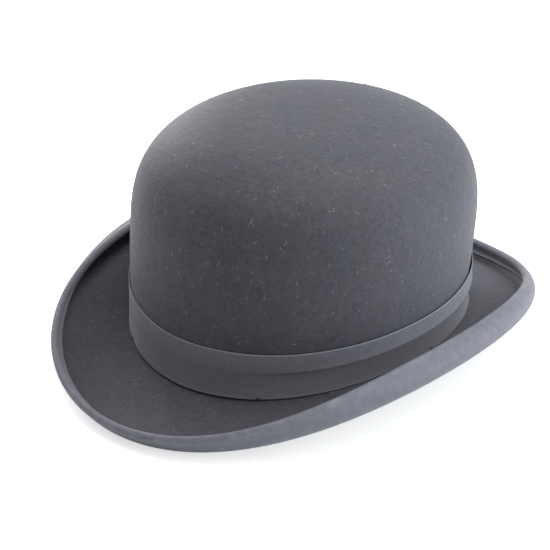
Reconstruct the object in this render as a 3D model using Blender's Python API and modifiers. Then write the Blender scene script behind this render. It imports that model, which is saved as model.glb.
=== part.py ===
"""Bowler hat: one stiffened felt body with its ribbon trim, leather sweatband and satin lining.

Metres and degrees, +Z up. +X is the wearer's left and -Y the front. The hat stands on the front
and rear dips of its brim, and the origin is on that surface, under the middle of the hat.
theta runs round the hat from +X, so the rear is at 90 degrees. The outside of the crown is an
oval that swells and domes over as it rises. The brim is a section that changes all round: flat,
then a curl of one radius, then a straight edge.
"""

from math import asin, cos, degrees, pi, radians, sin

import bmesh
import bpy
from mathutils import Matrix, Vector

COLUMNS = 48  # stations round the hat, none of them on its middle plane

# Crown, outside of the felt, above the mean height of the brim break
HALF_LENGTH = 0.1024
HALF_WIDTH = 0.0885
CROWN_HEIGHT = 0.1191
WIDEST_HEIGHT = 0.0560
SWELL = 0.026  # how much wider the crown is at WIDEST_HEIGHT than at the break
DOME_UPRIGHT, DOME_ACROSS = 3.10, 2.81  # powers of the dome's superellipse
FORWARD_LEAN = 0.007  # forward shift for each unit of height
CROWN_SHIFT = -0.0009  # puts the middle of the whole hat, not of its crown, on the origin
DOME_STEPS = 7

# Brim. Each is (mean, added at the sides, added at the rear, added every quarter turn)
BRIM_RISE_AT_SIDES = 0.0053
BRIM_FLAT = (0.0348, -0.0107, -0.0012, 0.0008)
BRIM_SLOPE = (-0.8, 14.7, 6.1, 0.0)
CURL_RADIUS = (0.0055, -0.0006, 0.0, 0.0)
CURL_TURN = (126.9, 29.9, -40.3, 0.0)
EDGE_STRAIGHT = (0.0060, -0.0006, 0.0035, 0.0)
BREAK_FILLET = 0.0015  # inside radius between the crown and the brim's top
CURL_STEPS = 5
REST_HALF_ANGLE = 6.0  # half of the arc that each rest face replaces

# Cloth, leather and felt thicknesses, and the gap between pieces that touch
FELT = 0.0022
RIBBON = 0.0006
LEATHER = 0.0010
SATIN = 0.0004
OILCLOTH = 0.0004
CARD = 0.00015
GAP = 0.0003

# Ribbon binding folded over the brim's edge
BINDING_UNDER = 0.0178
BINDING_TOP = 0.0100
BINDING_GAP = 0.0005
BINDING_OFFSET = FELT / 2 + BINDING_GAP + RIBBON

# Hat band, with a flat bow over its joint on the wearer's left
BAND_FOOT = 0.0026
BAND_TOP = (0.0279, -0.0028, 0.0, 0.0)
BAND_OFFSET = GAP + RIBBON
BOW_CENTRE = 0.0
BACK_LOOP = dict(half_angle=17.5, end_height=0.0208, waist_height=0.0150)
FRONT_LOOP = dict(half_angle=13.5, end_height=0.0188, waist_height=0.0135)
BOW_KNOT = dict(half_angle=3.1, end_height=0.0200, waist_height=0.0200)
LOOP_THICKNESS = 0.0010
STITCH = Vector((0.0034, 0.0005, 0.0005))  # a tack's length, thickness and height

# Sweatband and what holds it
SWEATBAND_FOOT = 0.0022
SWEATBAND_TOP = 0.0570
SWEATBAND_AT_FOOT = 0.0022  # distance from the felt to its outer face at the foot
SWEATBAND_AT_TOP = 0.0014
SWEATBAND_EASE = 0.0120
REED_RADIUS = 0.0009
REED_INSET = 0.0019
REED_DROP = -0.0003
WELT_RISE = 0.0090
THREAD_RADIUS = 0.00025
THREAD_HEIGHT = 0.0050
REAR = 90.0
SMALL_LOOP = dict(half_angle=8.0, end_height=0.0085, waist_height=0.0045)
SMALL_KNOT = dict(half_angle=1.9, end_height=0.0060, waist_height=0.0060)
SMALL_BOW_HEIGHT = 0.0110
TICKET_ANGLE = 135.0
TICKET_INSET = 0.0010

# Lining
LINING_FOOT = 0.0120
LINING_SEAM_STEP = 3  # the dome step where the side meets the tip
PIPING_RADIUS = 0.0007

# Material: base colour, roughness
FELT_GREY = ((0.085, 0.085, 0.105), 0.95)
RIBBON_GREY = ((0.115, 0.113, 0.140), 0.75)
BAND_GREY = ((0.075, 0.073, 0.085), 0.75)
TAN_LEATHER = ((0.270, 0.130, 0.060), 0.50)
CANE = ((0.550, 0.400, 0.220), 0.60)
OILCLOTH_BLACK = ((0.030, 0.028, 0.026), 0.45)
THREAD = ((0.420, 0.360, 0.270), 0.80)
BLACK_THREAD = ((0.030, 0.030, 0.034), 0.80)
SATIN_SILVER = ((0.420, 0.420, 0.440), 0.35)
PAPER = ((0.720, 0.690, 0.610), 0.85)


def around(theta, terms):
    """A quantity that changes round the hat, at this angle."""
    mean, side, rear, quarter = terms
    return mean + side * cos(2 * theta) + rear * sin(theta) + quarter * cos(4 * theta)


def brim_at(theta):
    """(flat length, slope, curl radius, curl turn, straight edge) of the brim's section here."""
    return (
        around(theta, BRIM_FLAT),
        radians(around(theta, BRIM_SLOPE)),
        around(theta, CURL_RADIUS),
        radians(around(theta, CURL_TURN)),
        around(theta, EDGE_STRAIGHT),
    )


def rest_height(theta):
    """Height of the brim's rest face here, from a break that neither lifts nor tilts."""
    flat, slope, radius, _, _ = brim_at(theta)
    centre = BRIM_RISE_AT_SIDES * cos(2 * theta) + flat * sin(slope) + radius * cos(slope)
    return centre - (radius + BINDING_OFFSET) * cos(radians(REST_HALF_ANGLE))


def level_break():
    """(lift, tilt) of the brim break that puts the front and rear rest faces at zero."""
    half_step = pi / COLUMNS
    front, rear = rest_height(half_step - pi / 2), rest_height(pi / 2 - half_step)
    return -(front + rear) / 2, (front - rear) / (2 * cos(half_step))


BREAK_LIFT, BREAK_TILT = level_break()


def break_rise(theta):
    """Height of the brim break over its mean."""
    return BRIM_RISE_AT_SIDES * cos(2 * theta) + BREAK_TILT * sin(theta)


def outward(theta):
    """Level unit vector square to the crown's oval."""
    return Vector((cos(theta) / HALF_WIDTH, sin(theta) / HALF_LENGTH, 0)).normalized()


def level_at(theta, height):
    """The crown level at this height over the break: 0 at the break, 1 at the widest, 2 at the top."""
    z = break_rise(theta) + height
    if z <= WIDEST_HEIGHT:
        return height / (WIDEST_HEIGHT - break_rise(theta))
    share = (z - WIDEST_HEIGHT) / (CROWN_HEIGHT - WIDEST_HEIGHT)
    return 1 + asin(share ** (DOME_UPRIGHT / 2)) / (pi / 2)


def crown_point(theta, level):
    """Point on the outside of the crown."""
    if level <= 1:
        z = break_rise(theta) * (1 - level) + WIDEST_HEIGHT * level
        spread = 1 + SWELL * (1 - (1 - z / WIDEST_HEIGHT) ** 2)
    else:
        turn = (level - 1) * pi / 2
        z = WIDEST_HEIGHT + (CROWN_HEIGHT - WIDEST_HEIGHT) * sin(turn) ** (2 / DOME_UPRIGHT)
        spread = (1 + SWELL) * max(cos(turn), 0) ** (2 / DOME_ACROSS)
    across, along = HALF_WIDTH * spread * cos(theta), HALF_LENGTH * spread * sin(theta)
    return Vector((across, along + CROWN_SHIFT - FORWARD_LEAN * z, z + BREAK_LIFT))


def crown_skin(theta, level, offset):
    """Point at this distance outside the crown's outer face."""
    step = 1e-3
    east = crown_point(theta + step, level) - crown_point(theta - step, level)
    up = crown_point(theta, min(level + step, 2)) - crown_point(theta, level - step)
    return crown_point(theta, level) + east.cross(up).normalized() * offset


def wall_skin(theta, height, offset):
    """Point outside the crown's outer face, at this height over the break."""
    return crown_skin(theta, level_at(theta, height), offset)


def crown_top(offset):
    """The crown's middle point, at this distance over its outer face."""
    return crown_point(0, 2) + Vector((0, 0, offset))


def brim_skin(theta, run, offset):
    """Point run along the brim's middle surface, offset towards its underside and outer face."""
    flat, slope, radius, turn, _ = brim_at(theta)
    bent = min(max(run - flat, 0) / radius, turn)
    out, up = min(run, flat) * cos(slope), min(run, flat) * sin(slope)
    angle = slope + bent
    out += radius * (sin(angle) - sin(slope))
    up += radius * (cos(slope) - cos(angle))
    straight = max(run - flat - radius * turn, 0)
    out += straight * cos(angle) + offset * sin(angle)
    up += straight * sin(angle) - offset * cos(angle)
    return crown_point(theta, 0) + outward(theta) * out + Vector((0, 0, up))


def brim_width(theta):
    """Length of the brim's middle surface from the break to the outside of its binding."""
    flat, _, radius, turn, edge = brim_at(theta)
    return flat + radius * turn + edge


def curl_runs(theta):
    """Runs of the curl's stations. At the front and rear the first two lie level."""
    flat, slope, radius, turn, _ = brim_at(theta)
    near_dip = min(max((sin(theta) ** 2 - 0.35) / 0.6, 0), 1)
    middle = (1 - near_dip) * (slope + radians(20))
    half = radians(REST_HALF_ANGLE)
    first, last = middle + half, slope + turn
    angles = [middle - half, first]
    angles += [first + (last - first) * step / CURL_STEPS for step in range(1, CURL_STEPS + 1)]
    return [flat + radius * (angle - slope) for angle in angles]


def stations(count=COLUMNS):
    return [2 * pi * (index + 0.5) / count for index in range(count)]


def make_object(name, mesh, finish):
    """A part with its own material, in the hat's collection."""
    colour, roughness = finish
    material = bpy.data.materials.new(name)
    material.use_nodes = True
    shader = material.node_tree.nodes["Principled BSDF"]
    shader.inputs["Base Color"].default_value = (*colour, 1)
    shader.inputs["Roughness"].default_value = roughness
    mesh.materials.append(material)
    part = bpy.data.objects.new(name, mesh)
    bpy.data.collections["bowler_hat"].objects.link(part)
    return part


def loft(name, columns, finish, thickness, pole=None, ring=True):
    """A skin through these columns of points, thickened on the side behind its faces.

    Columns run anticlockwise seen from above, and faces look out where a column runs upwards.
    A pole is one more point that closes the skin over the first row.
    """
    shape = bmesh.new()
    grid = [[shape.verts.new(point) for point in column] for column in columns]
    for index in range(len(grid) if ring else len(grid) - 1):
        here, there = grid[index], grid[(index + 1) % len(grid)]
        for row in range(len(here) - 1):
            shape.faces.new((here[row], there[row], there[row + 1], here[row + 1]))
    if pole is not None:
        middle = shape.verts.new(pole)
        for here, there in zip(grid, grid[1:] + grid[:1]):
            shape.faces.new((there[0], here[0], middle))
    mesh = bpy.data.meshes.new(name)
    shape.to_mesh(mesh)
    shape.free()
    mesh.shade_smooth()
    part = make_object(name, mesh, finish)
    part.modifiers.new("short_diagonals", "TRIANGULATE").quad_method = "SHORTEST_DIAGONAL"
    shell = part.modifiers.new("thickness", "SOLIDIFY")
    shell.thickness = thickness
    shell.offset = -1
    return part


def tube(name, points, radius, finish, roundness=0):
    """A closed cord through these points: square, or rounder with a higher roundness."""
    curve = bpy.data.curves.new(name, "CURVE")
    curve.dimensions = "3D"
    curve.bevel_depth = radius
    curve.bevel_resolution = roundness
    spline = curve.splines.new("POLY")
    spline.points.add(len(points) - 1)
    for control, point in zip(spline.points, points):
        control.co = (*point, 1)
    spline.use_cyclic_u = True
    return make_object(name, curve, finish)


def stitch(name, middle, along, facing, finish):
    """A short thread, lying the way along and facing the way facing."""
    shape = bmesh.new()
    bmesh.ops.create_cube(shape, size=1, matrix=Matrix.Diagonal((*STITCH, 1)))
    mesh = bpy.data.meshes.new(name)
    shape.to_mesh(mesh)
    shape.free()
    axes = Matrix((along, facing, along.cross(facing))).transposed()
    mesh.transform(axes.to_4x4())
    part = make_object(name, mesh, finish)
    part.location = middle
    return part


def dome_level(step):
    return 1 + step / DOME_STEPS


def felt_body():
    """Crown and brim, blocked from one piece of felt. The skin drawn is the one that faces the
    head and the floor, from the brim's edge up to the top of the crown."""
    columns = []
    for theta in stations():
        flat = brim_at(theta)[0]
        edge = brim_width(theta) - BINDING_OFFSET + GAP
        under = [edge, *reversed(curl_runs(theta)), flat, flat / 2, BREAK_FILLET + FELT / 2]
        column = [brim_skin(theta, run, FELT / 2) for run in under]
        wall_foot = wall_skin(theta, BREAK_FILLET + FELT / 2, -FELT)
        corner = Vector((*wall_skin(theta, 0, -FELT).xy, brim_skin(theta, 0, FELT / 2).z))
        column.append((column[-1] + 2 * corner + wall_foot) / 4)
        column.append(wall_foot)
        levels = [1 / 3, 2 / 3] + [dome_level(step) for step in range(DOME_STEPS)]
        column += [crown_skin(theta, level, -FELT) for level in levels]
        columns.append(column[::-1])
    return loft("felt_body", columns, FELT_GREY, FELT, pole=crown_top(-FELT))


def brim_binding():
    """Ribbon folded over the brim's edge, wider below than on top."""
    columns = []
    for theta in stations():
        width = brim_width(theta)
        fold = width - BINDING_OFFSET
        under = [width - BINDING_UNDER, *curl_runs(theta), fold]
        column = [brim_skin(theta, run, BINDING_OFFSET) for run in under]
        for quarter in (45, 90, 135):
            run = fold + BINDING_OFFSET * sin(radians(quarter))
            column.append(brim_skin(theta, run, BINDING_OFFSET * cos(radians(quarter))))
        steps = 3
        for step in range(steps + 1):
            run = fold - (BINDING_TOP - BINDING_OFFSET) * step / steps
            column.append(brim_skin(theta, run, -BINDING_OFFSET))
        columns.append(column)
    return loft("brim_binding", columns, RIBBON_GREY, RIBBON)


def hat_band():
    columns = []
    for theta in stations():
        top = around(theta, BAND_TOP)
        heights = (BAND_FOOT, (BAND_FOOT + top) / 2, top)
        columns.append([wall_skin(theta, height, BAND_OFFSET) for height in heights])
    return loft("hat_band", columns, BAND_GREY, RIBBON)


def bow_piece(name, shape, centre, middle, outer, thickness, finish, steps=8):
    """A folded ribbon lying flat on the crown wall, narrower at its waist.

    centre is its angle, middle its height over the break, and outer the distance of its outer
    face from the crown's outer face: below zero, it lies inside the hat and faces inwards.
    """
    columns = []
    for step in range(-steps // 2, steps // 2 + 1):
        share = 2 * step / steps
        theta = radians(centre + shape["half_angle"] * share)
        waist, end = shape["waist_height"], shape["end_height"]
        half = (waist + (end - waist) * abs(share) ** 0.6) / 2
        heights = (middle - half, middle, middle + half)
        columns.append([wall_skin(theta, height, outer) for height in heights])
    if outer < 0:
        columns.reverse()
    return loft(name, columns, finish, thickness, ring=False)


def band_bow():
    """Two layers of loops and the knot that holds them, on the wearer's left."""
    middle = (BAND_FOOT + around(radians(BOW_CENTRE), BAND_TOP)) / 2
    outer = BAND_OFFSET
    for name, shape, thickness in (
        ("bow_back_loops", BACK_LOOP, LOOP_THICKNESS),
        ("bow_front_loops", FRONT_LOOP, LOOP_THICKNESS),
        ("bow_knot", BOW_KNOT, RIBBON),
    ):
        outer += GAP + thickness
        bow_piece(name, shape, BOW_CENTRE, middle, outer, thickness, BAND_GREY)


def wall_stitch(name, theta, height, offset):
    """A level stitch on the crown wall."""
    along = Vector((0, 0, 1)).cross(outward(theta))
    return stitch(name, wall_skin(theta, height, offset), along, outward(theta), BLACK_THREAD)


def band_tacks():
    """Stitches along the band's foot that hold it to the felt."""
    offset = BAND_OFFSET + GAP + STITCH.y / 2
    for number, angle in enumerate((60, 120, 180, 240, 300), start=1):
        wall_stitch(f"band_tack_{number}", radians(angle), BAND_FOOT + STITCH.z, offset)


def bow_tacks():
    """Stitches at the tips of the bow that keep it flat on the band."""
    middle = (BAND_FOOT + around(radians(BOW_CENTRE), BAND_TOP)) / 2
    offset = BAND_OFFSET + GAP + STITCH.y / 2
    past = BACK_LOOP["half_angle"] + degrees(STITCH.x / HALF_LENGTH)
    for name, side in (("bow_tack_front", -1), ("bow_tack_rear", 1)):
        wall_stitch(name, radians(BOW_CENTRE + side * past), middle, offset)


def sweatband_offset(height):
    """How far inside the felt the sweatband's outer face is: it leans back off the reed."""
    eased = min(max((height - SWEATBAND_FOOT) / SWEATBAND_EASE, 0), 1)
    return SWEATBAND_AT_FOOT + (SWEATBAND_AT_TOP - SWEATBAND_AT_FOOT) * eased


def sweatband():
    """Leather band round the inside of the crown. The skin drawn is the one that faces the head."""
    heights = [SWEATBAND_FOOT, SWEATBAND_FOOT + SWEATBAND_EASE, 0.034, SWEATBAND_TOP]
    columns = []
    for theta in stations():
        column = []
        for height in heights:
            inner = FELT + sweatband_offset(height) + LEATHER
            column.append(wall_skin(theta, height, -inner))
        columns.append(column[::-1])
    return loft("sweatband", columns, TAN_LEATHER, LEATHER)


def reed_middle(theta):
    return wall_skin(theta, REED_DROP, -FELT - REED_INSET)


def sweatband_reed():
    points = [reed_middle(theta) for theta in stations()]
    return tube("sweatband_reed", points, REED_RADIUS, CANE, roundness=1)


def reed_welt():
    """Oilcloth strip that runs down the felt and turns under the reed, to carry the sweatband."""
    radius = REED_RADIUS + GAP + OILCLOTH
    columns = []
    for theta in stations():
        column = [wall_skin(theta, WELT_RISE, -FELT - REED_INSET + radius)]
        for angle in (0, 60, 120, 180):
            out, down = radius * cos(radians(angle)), radius * sin(radians(angle))
            column.append(reed_middle(theta) + outward(theta) * out - Vector((0, 0, down)))
        columns.append(column[::-1])
    return loft("reed_welt", columns, OILCLOTH_BLACK, OILCLOTH)


def sweatband_thread():
    """The seam's thread on the face of the leather, just over the reed."""
    inner = FELT + sweatband_offset(THREAD_HEIGHT) + LEATHER + GAP + THREAD_RADIUS
    points = [wall_skin(theta, THREAD_HEIGHT, -inner) for theta in stations()]
    return tube("sweatband_thread", points, THREAD_RADIUS, THREAD)


def sweatband_bow():
    """The small bow on the sweatband at the back of the head."""
    face = FELT + sweatband_offset(SMALL_BOW_HEIGHT) + LEATHER
    for name, shape, thickness in (
        ("sweatband_bow_loops", SMALL_LOOP, LOOP_THICKNESS),
        ("sweatband_bow_knot", SMALL_KNOT, LOOP_THICKNESS),
    ):
        face += 2 * GAP + thickness
        bow_piece(name, shape, REAR, SMALL_BOW_HEIGHT, -face, thickness, BLACK_THREAD, steps=4)


def size_ticket():
    """Blank paper ticket, tucked between the lining and the sweatband at the back."""
    shape = dict(half_angle=8.0, end_height=0.0120, waist_height=0.0120)
    inner = FELT + TICKET_INSET + CARD
    return bow_piece("size_ticket", shape, TICKET_ANGLE, 0.030, -inner, CARD, PAPER, steps=4)


def lining_side():
    """Satin from behind the sweatband up to the seam round the tip."""
    inner = FELT + GAP + SATIN
    seam = dome_level(LINING_SEAM_STEP) - 0.01
    levels = [1 / 3, 2 / 3] + [dome_level(step) for step in range(LINING_SEAM_STEP)] + [seam]
    columns = []
    for theta in stations():
        column = [wall_skin(theta, LINING_FOOT, -inner)]
        column += [crown_skin(theta, level, -inner) for level in levels]
        columns.append(column[::-1])
    return loft("lining_side", columns, SATIN_SILVER, SATIN)


def lining_tip():
    """Oval of satin under the top of the crown."""
    inner = FELT + GAP + SATIN
    levels = [dome_level(LINING_SEAM_STEP) + 0.01]
    levels += [dome_level(step) for step in range(LINING_SEAM_STEP + 1, DOME_STEPS)]
    columns = []
    for theta in stations():
        columns.append([crown_skin(theta, level, -inner) for level in reversed(levels)])
    return loft("lining_tip", columns, SATIN_SILVER, SATIN, pole=crown_top(-inner))


def lining_piping():
    """Satin cord over the seam between the lining's side and tip."""
    inner = FELT + GAP + SATIN + GAP + PIPING_RADIUS
    level = dome_level(LINING_SEAM_STEP)
    points = [crown_skin(theta, level, -inner) for theta in stations()]
    return tube("lining_piping", points, PIPING_RADIUS, SATIN_SILVER)


def clear_scene():
    for old in list(bpy.data.objects):
        bpy.data.objects.remove(old)
    collection = bpy.data.collections.new("bowler_hat")
    bpy.context.scene.collection.children.link(collection)


clear_scene()
felt_body()
brim_binding()
hat_band()
band_tacks()
band_bow()
bow_tacks()
sweatband()
sweatband_reed()
reed_welt()
sweatband_thread()
sweatband_bow()
size_ticket()
lining_side()
lining_tip()
lining_piping()
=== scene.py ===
from math import pi, radians, tau

import bpy
import numpy as np
from mathutils import Matrix, Vector


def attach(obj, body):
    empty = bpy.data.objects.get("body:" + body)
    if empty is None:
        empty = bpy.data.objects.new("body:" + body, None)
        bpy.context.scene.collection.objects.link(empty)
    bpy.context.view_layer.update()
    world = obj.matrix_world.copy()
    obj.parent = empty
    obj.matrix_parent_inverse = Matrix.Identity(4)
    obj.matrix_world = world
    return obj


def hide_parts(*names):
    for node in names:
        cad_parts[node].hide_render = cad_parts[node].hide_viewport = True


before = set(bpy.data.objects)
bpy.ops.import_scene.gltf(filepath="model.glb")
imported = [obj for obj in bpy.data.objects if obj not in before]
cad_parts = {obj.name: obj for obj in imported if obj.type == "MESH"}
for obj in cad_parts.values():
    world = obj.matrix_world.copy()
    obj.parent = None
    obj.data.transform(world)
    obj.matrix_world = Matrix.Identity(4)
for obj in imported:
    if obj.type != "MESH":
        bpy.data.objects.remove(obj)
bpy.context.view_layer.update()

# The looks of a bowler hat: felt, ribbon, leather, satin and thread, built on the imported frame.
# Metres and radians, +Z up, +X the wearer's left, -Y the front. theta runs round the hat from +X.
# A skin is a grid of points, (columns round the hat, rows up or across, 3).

COLUMNS = 288  # stations round the hat
UP = np.array([0.0, 0.0, 1.0])

# Crown, outside of the felt, above the mean height of the brim break: the CAD part's own values
HALF_LENGTH = 0.1024
HALF_WIDTH = 0.0885
CROWN_HEIGHT = 0.1191
WIDEST_HEIGHT = 0.0560
SWELL = 0.026  # how much wider the crown is at WIDEST_HEIGHT than at the break
DOME_UPRIGHT, DOME_ACROSS = 3.10, 2.81  # powers of the dome's superellipse
FORWARD_LEAN = 0.007  # forward shift for each unit of height
CROWN_SHIFT = -0.0009
BREAK_LIFT = 0.0199575  # mean height of the break over the floor
BREAK_TILT = -0.0052199  # added to it at the rear, and taken from it at the front

# Brim. Each is (mean, added at the sides, added at the rear, added every quarter turn)
BRIM_RISE_AT_SIDES = 0.0053
BRIM_FLAT = (0.0348, -0.0107, -0.0012, 0.0008)
BRIM_SLOPE = (-0.8, 14.7, 6.1, 0.0)
CURL_RADIUS = (0.0055, -0.0006, 0.0, 0.0)
CURL_TURN = (126.9, 29.9, -40.3, 0.0)
EDGE_STRAIGHT = (0.0060, -0.0006, 0.0035, 0.0)
BREAK_FILLET = 0.0015  # inside radius between the crown and the brim's top

# Cloth, leather and felt thicknesses, and the gap between pieces that touch
FELT = 0.0022
RIBBON = 0.0006
LEATHER = 0.0010
SATIN = 0.0004
OILCLOTH = 0.0004
GAP = 0.0003

# Ribbon binding folded over the brim's edge
BINDING_UNDER = 0.0178
BINDING_TOP = 0.0100
BINDING_GAP = 0.0005
BINDING_OFFSET = FELT / 2 + BINDING_GAP + RIBBON
BINDING_THICKNESS = 0.8 * RIBBON

# Hat band, with a lengthwise fold: shares of its width from the foot, and how far out it is there
BAND_FOOT = 0.0026
BAND_TOP = (0.0279, -0.0028, 0.0, 0.0)
BAND_OFFSET = GAP + RIBBON
BAND_THICKNESS = 0.85 * RIBBON
BAND_FOLD_AT = (0, 0.12, 0.30, 0.50, 0.55, 0.59, 0.66, 0.75, 0.86, 1)
BAND_FOLD_OUT = (0.0007, 0.0004, 0.0001, 0.0001, 0.0006, 0.0015, 0.0010, 0.0006, 0.0005, 0.0005)
BAND_FLARE = 0.0014  # how far its foot stands off

# Flat bow on the band: half angles in degrees, and heights at the ends and at the waist
LONG_LOOPS = (17.5, (0.0208, 0.0130))
SHORT_LOOPS = (13.5, (0.0188, 0.0115))
LOOP_DEPTH = 0.0016
LAYER_STEP = 0.0018  # from one layer's face to the next
KNOT_HALF_ANGLE = 3.1
KNOT_HEIGHT = 0.0185
TACK_PAST_LOOPS = 1.9  # degrees
TACK_HALF_LENGTH = 0.0017

# Sweatband, what holds it, and the small bow at its back
SWEATBAND_FOOT = 0.0022
SWEATBAND_TOP = 0.0570
SWEATBAND_AT_FOOT = 0.0022  # distance from the felt to its outer face at the foot
SWEATBAND_AT_TOP = 0.0014
SWEATBAND_EASE = 0.0120  # how far up it takes to lean back
CREASE_DROP = 0.0022  # from its top edge to the line creased along it
REED_RADIUS = 0.0009
REED_INSET = 0.0019
REED_DROP = -0.0003
WELT_RISE = 0.0090
THREAD_HEIGHT = 0.0050
SEAM_STITCHES = 150
SMALL_BOW_HEIGHT = 0.0110
SMALL_LOOPS = (8.0, (0.0085, 0.0045))
SMALL_LOOP_DEPTH = 0.0010
SMALL_KNOT_HALF_ANGLE = 1.9
SMALL_KNOT_HEIGHT = 0.0060

# Lining
LINING_THICKNESS = 0.8 * SATIN
LINING_FOOT = 0.0120
LINING_SEAM_LEVEL = 1 + 3 / 7  # the dome level where the side meets the tip
SEAM_SHARE = 0.006  # how far each stops short of it
SIDE_PLEATS = 60
TIP_GATHERS = 36
PIPING_RADIUS = 0.0007
PIPING_STRANDS = 3
PIPING_TWISTS = 150

# Stray hairs
LINT_HAIRS = 1500
LINT_LENGTH = (0.0006, 0.0034)
LINT_RADIUS = 0.00004
LINT_POINTS = 6

# Ribbon colours as (dark, light, selvedge), and the pitch of the ribs
BINDING_COLOURS = ((0.146, 0.148, 0.176), (0.186, 0.189, 0.221), (0.27, 0.27, 0.30))
BAND_COLOURS = ((0.142, 0.140, 0.162), (0.172, 0.170, 0.194), (0.24, 0.24, 0.27))
BOW_COLOURS = ((0.132, 0.130, 0.152), (0.164, 0.162, 0.186), (0.33, 0.33, 0.36))
SMALL_COLOURS = ((0.018, 0.018, 0.022), (0.034, 0.034, 0.040), (0.06, 0.06, 0.07))
BINDING_PITCH = 0.00055
BAND_PITCH = 0.00060
SMALL_PITCH = 0.00045

# Floor
FLOOR_HALF = 6.0
FLOOR_DROP = 0.0001  # keeps it just clear of the binding
FLOOR_GLOW = 0.62

# Camera, and soft boxes as (name, (azimuth, elevation), size, watts, colour)
CAMERA_AZIMUTH, CAMERA_ELEVATION, CAMERA_ROLL = -142.208, 27.718, 3.387
CAMERA_AIM = Vector((0.003445, 0.018520, 0.044767))
CAMERA_DISTANCE = 1.100
CAMERA_LENS, CAMERA_SENSOR = 128.24, 36.0
HAT_MIDDLE = Vector((0, 0, 0.06))
WORLD_STRENGTH = 0.15
SOFTBOX_DISTANCE = 1.3
SOFTBOXES = (
    ("overhead", (0.0, 90.0), 1.0, 7.6, (1.0, 0.99, 1.0)),
    ("right", (-52.0, 22.0), 1.0, 7.4, (0.92, 0.97, 1.0)),
    ("right_near", (-95.0, 35.0), 1.0, 3.1, (0.96, 0.98, 1.0)),
    ("near", (-142.0, 50.0), 1.0, 2.4, (1.0, 1.0, 1.0)),
    ("right_far", (-10.0, 50.0), 1.0, 8.7, (0.94, 0.98, 1.0)),
    ("left_far", (104.0, 36.0), 0.8, 4.6, (1.0, 0.99, 0.99)),
    ("window", (64.0, 14.0), 0.50, 5.5, (0.98, 0.99, 1.0)),
    ("right_low", (-62.0, 4.0), 0.8, 7.6, (0.88, 0.95, 1.0)),
)


# Shape of the hat


def around(theta, terms):
    """A quantity that changes round the hat."""
    mean, side, rear, quarter = terms
    return mean + side * np.cos(2 * theta) + rear * np.sin(theta) + quarter * np.cos(4 * theta)


def break_rise(theta):
    """Height of the brim break over its mean."""
    return BRIM_RISE_AT_SIDES * np.cos(2 * theta) + BREAK_TILT * np.sin(theta)


def unit(vectors):
    """These vectors at length 1."""
    return vectors / np.linalg.norm(vectors, axis=-1, keepdims=True)


def outward(theta):
    """Level unit vector square to the crown's oval."""
    across, along = np.cos(theta) / HALF_WIDTH, np.sin(theta) / HALF_LENGTH
    return unit(np.stack([across, along, np.zeros_like(across)], axis=-1))


def level_at(theta, height):
    """The crown level at this height over the break: 0 there, 1 at the widest, 2 at the top."""
    z = break_rise(theta) + height
    share = np.clip((z - WIDEST_HEIGHT) / (CROWN_HEIGHT - WIDEST_HEIGHT), 0, 1)
    dome = 1 + np.arcsin(share ** (DOME_UPRIGHT / 2)) / (pi / 2)
    return np.where(z <= WIDEST_HEIGHT, height / (WIDEST_HEIGHT - break_rise(theta)), dome)


def crown_point(theta, level):
    """Points on the outside of the crown."""
    theta, level = np.broadcast_arrays(theta, level)
    low = np.minimum(level, 1)
    low_z = break_rise(theta) * (1 - low) + WIDEST_HEIGHT * low
    low_spread = 1 + SWELL * (1 - (1 - low_z / WIDEST_HEIGHT) ** 2)
    turn = np.clip(level - 1, 0, 1) * pi / 2
    dome_z = WIDEST_HEIGHT + (CROWN_HEIGHT - WIDEST_HEIGHT) * np.sin(turn) ** (2 / DOME_UPRIGHT)
    dome_spread = (1 + SWELL) * np.maximum(np.cos(turn), 0) ** (2 / DOME_ACROSS)
    z = np.where(level <= 1, low_z, dome_z)
    spread = np.where(level <= 1, low_spread, dome_spread)
    across = HALF_WIDTH * spread * np.cos(theta)
    along = HALF_LENGTH * spread * np.sin(theta) + CROWN_SHIFT - FORWARD_LEAN * z
    return np.stack([across, along, z + BREAK_LIFT], axis=-1)


def crown_skin(theta, level, offset):
    """Points at this distance outside the crown's outer face."""
    step = 1e-3
    level = np.minimum(level, 2 - step)
    east = crown_point(theta + step, level) - crown_point(theta - step, level)
    up = crown_point(theta, level + step) - crown_point(theta, level - step)
    normal = unit(np.cross(east, up))
    return crown_point(theta, level) + normal * np.asarray(offset)[..., None]


def wall_skin(theta, height, offset):
    """Points outside the crown's outer face, at this height over the break."""
    return crown_skin(theta, level_at(theta, height), offset)


def brim_skin(theta, run, offset):
    """Points run along the brim's middle surface, offset towards its underside and outer face."""
    flat, slope = around(theta, BRIM_FLAT), np.radians(around(theta, BRIM_SLOPE))
    radius, turn = around(theta, CURL_RADIUS), np.radians(around(theta, CURL_TURN))
    angle = slope + np.clip((run - flat) / radius, 0, turn)
    level = np.minimum(run, flat)
    straight = np.maximum(run - flat - radius * turn, 0)
    out = level * np.cos(slope) + radius * (np.sin(angle) - np.sin(slope))
    out += straight * np.cos(angle) + offset * np.sin(angle)
    up = level * np.sin(slope) + radius * (np.cos(slope) - np.cos(angle))
    up += straight * np.sin(angle) - offset * np.cos(angle)
    rise = np.stack([np.zeros_like(up), np.zeros_like(up), up], axis=-1)
    return crown_point(theta, 0) + outward(theta) * out[..., None] + rise


def brim_width(theta):
    """Length of the brim's middle surface from the break to the outside of its binding."""
    curl = around(theta, CURL_RADIUS) * np.radians(around(theta, CURL_TURN))
    return around(theta, BRIM_FLAT) + curl + around(theta, EDGE_STRAIGHT)


def ring(count=COLUMNS):
    """Angles of the columns round the hat, as a column vector."""
    return (tau * (np.arange(count) + 0.5) / count)[:, None]


def rows_between(first, last, count):
    """Values evenly spaced from one column vector to another."""
    share = np.linspace(0, 1, count)[None, :]
    return first * (1 - share) + last * share


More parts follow.
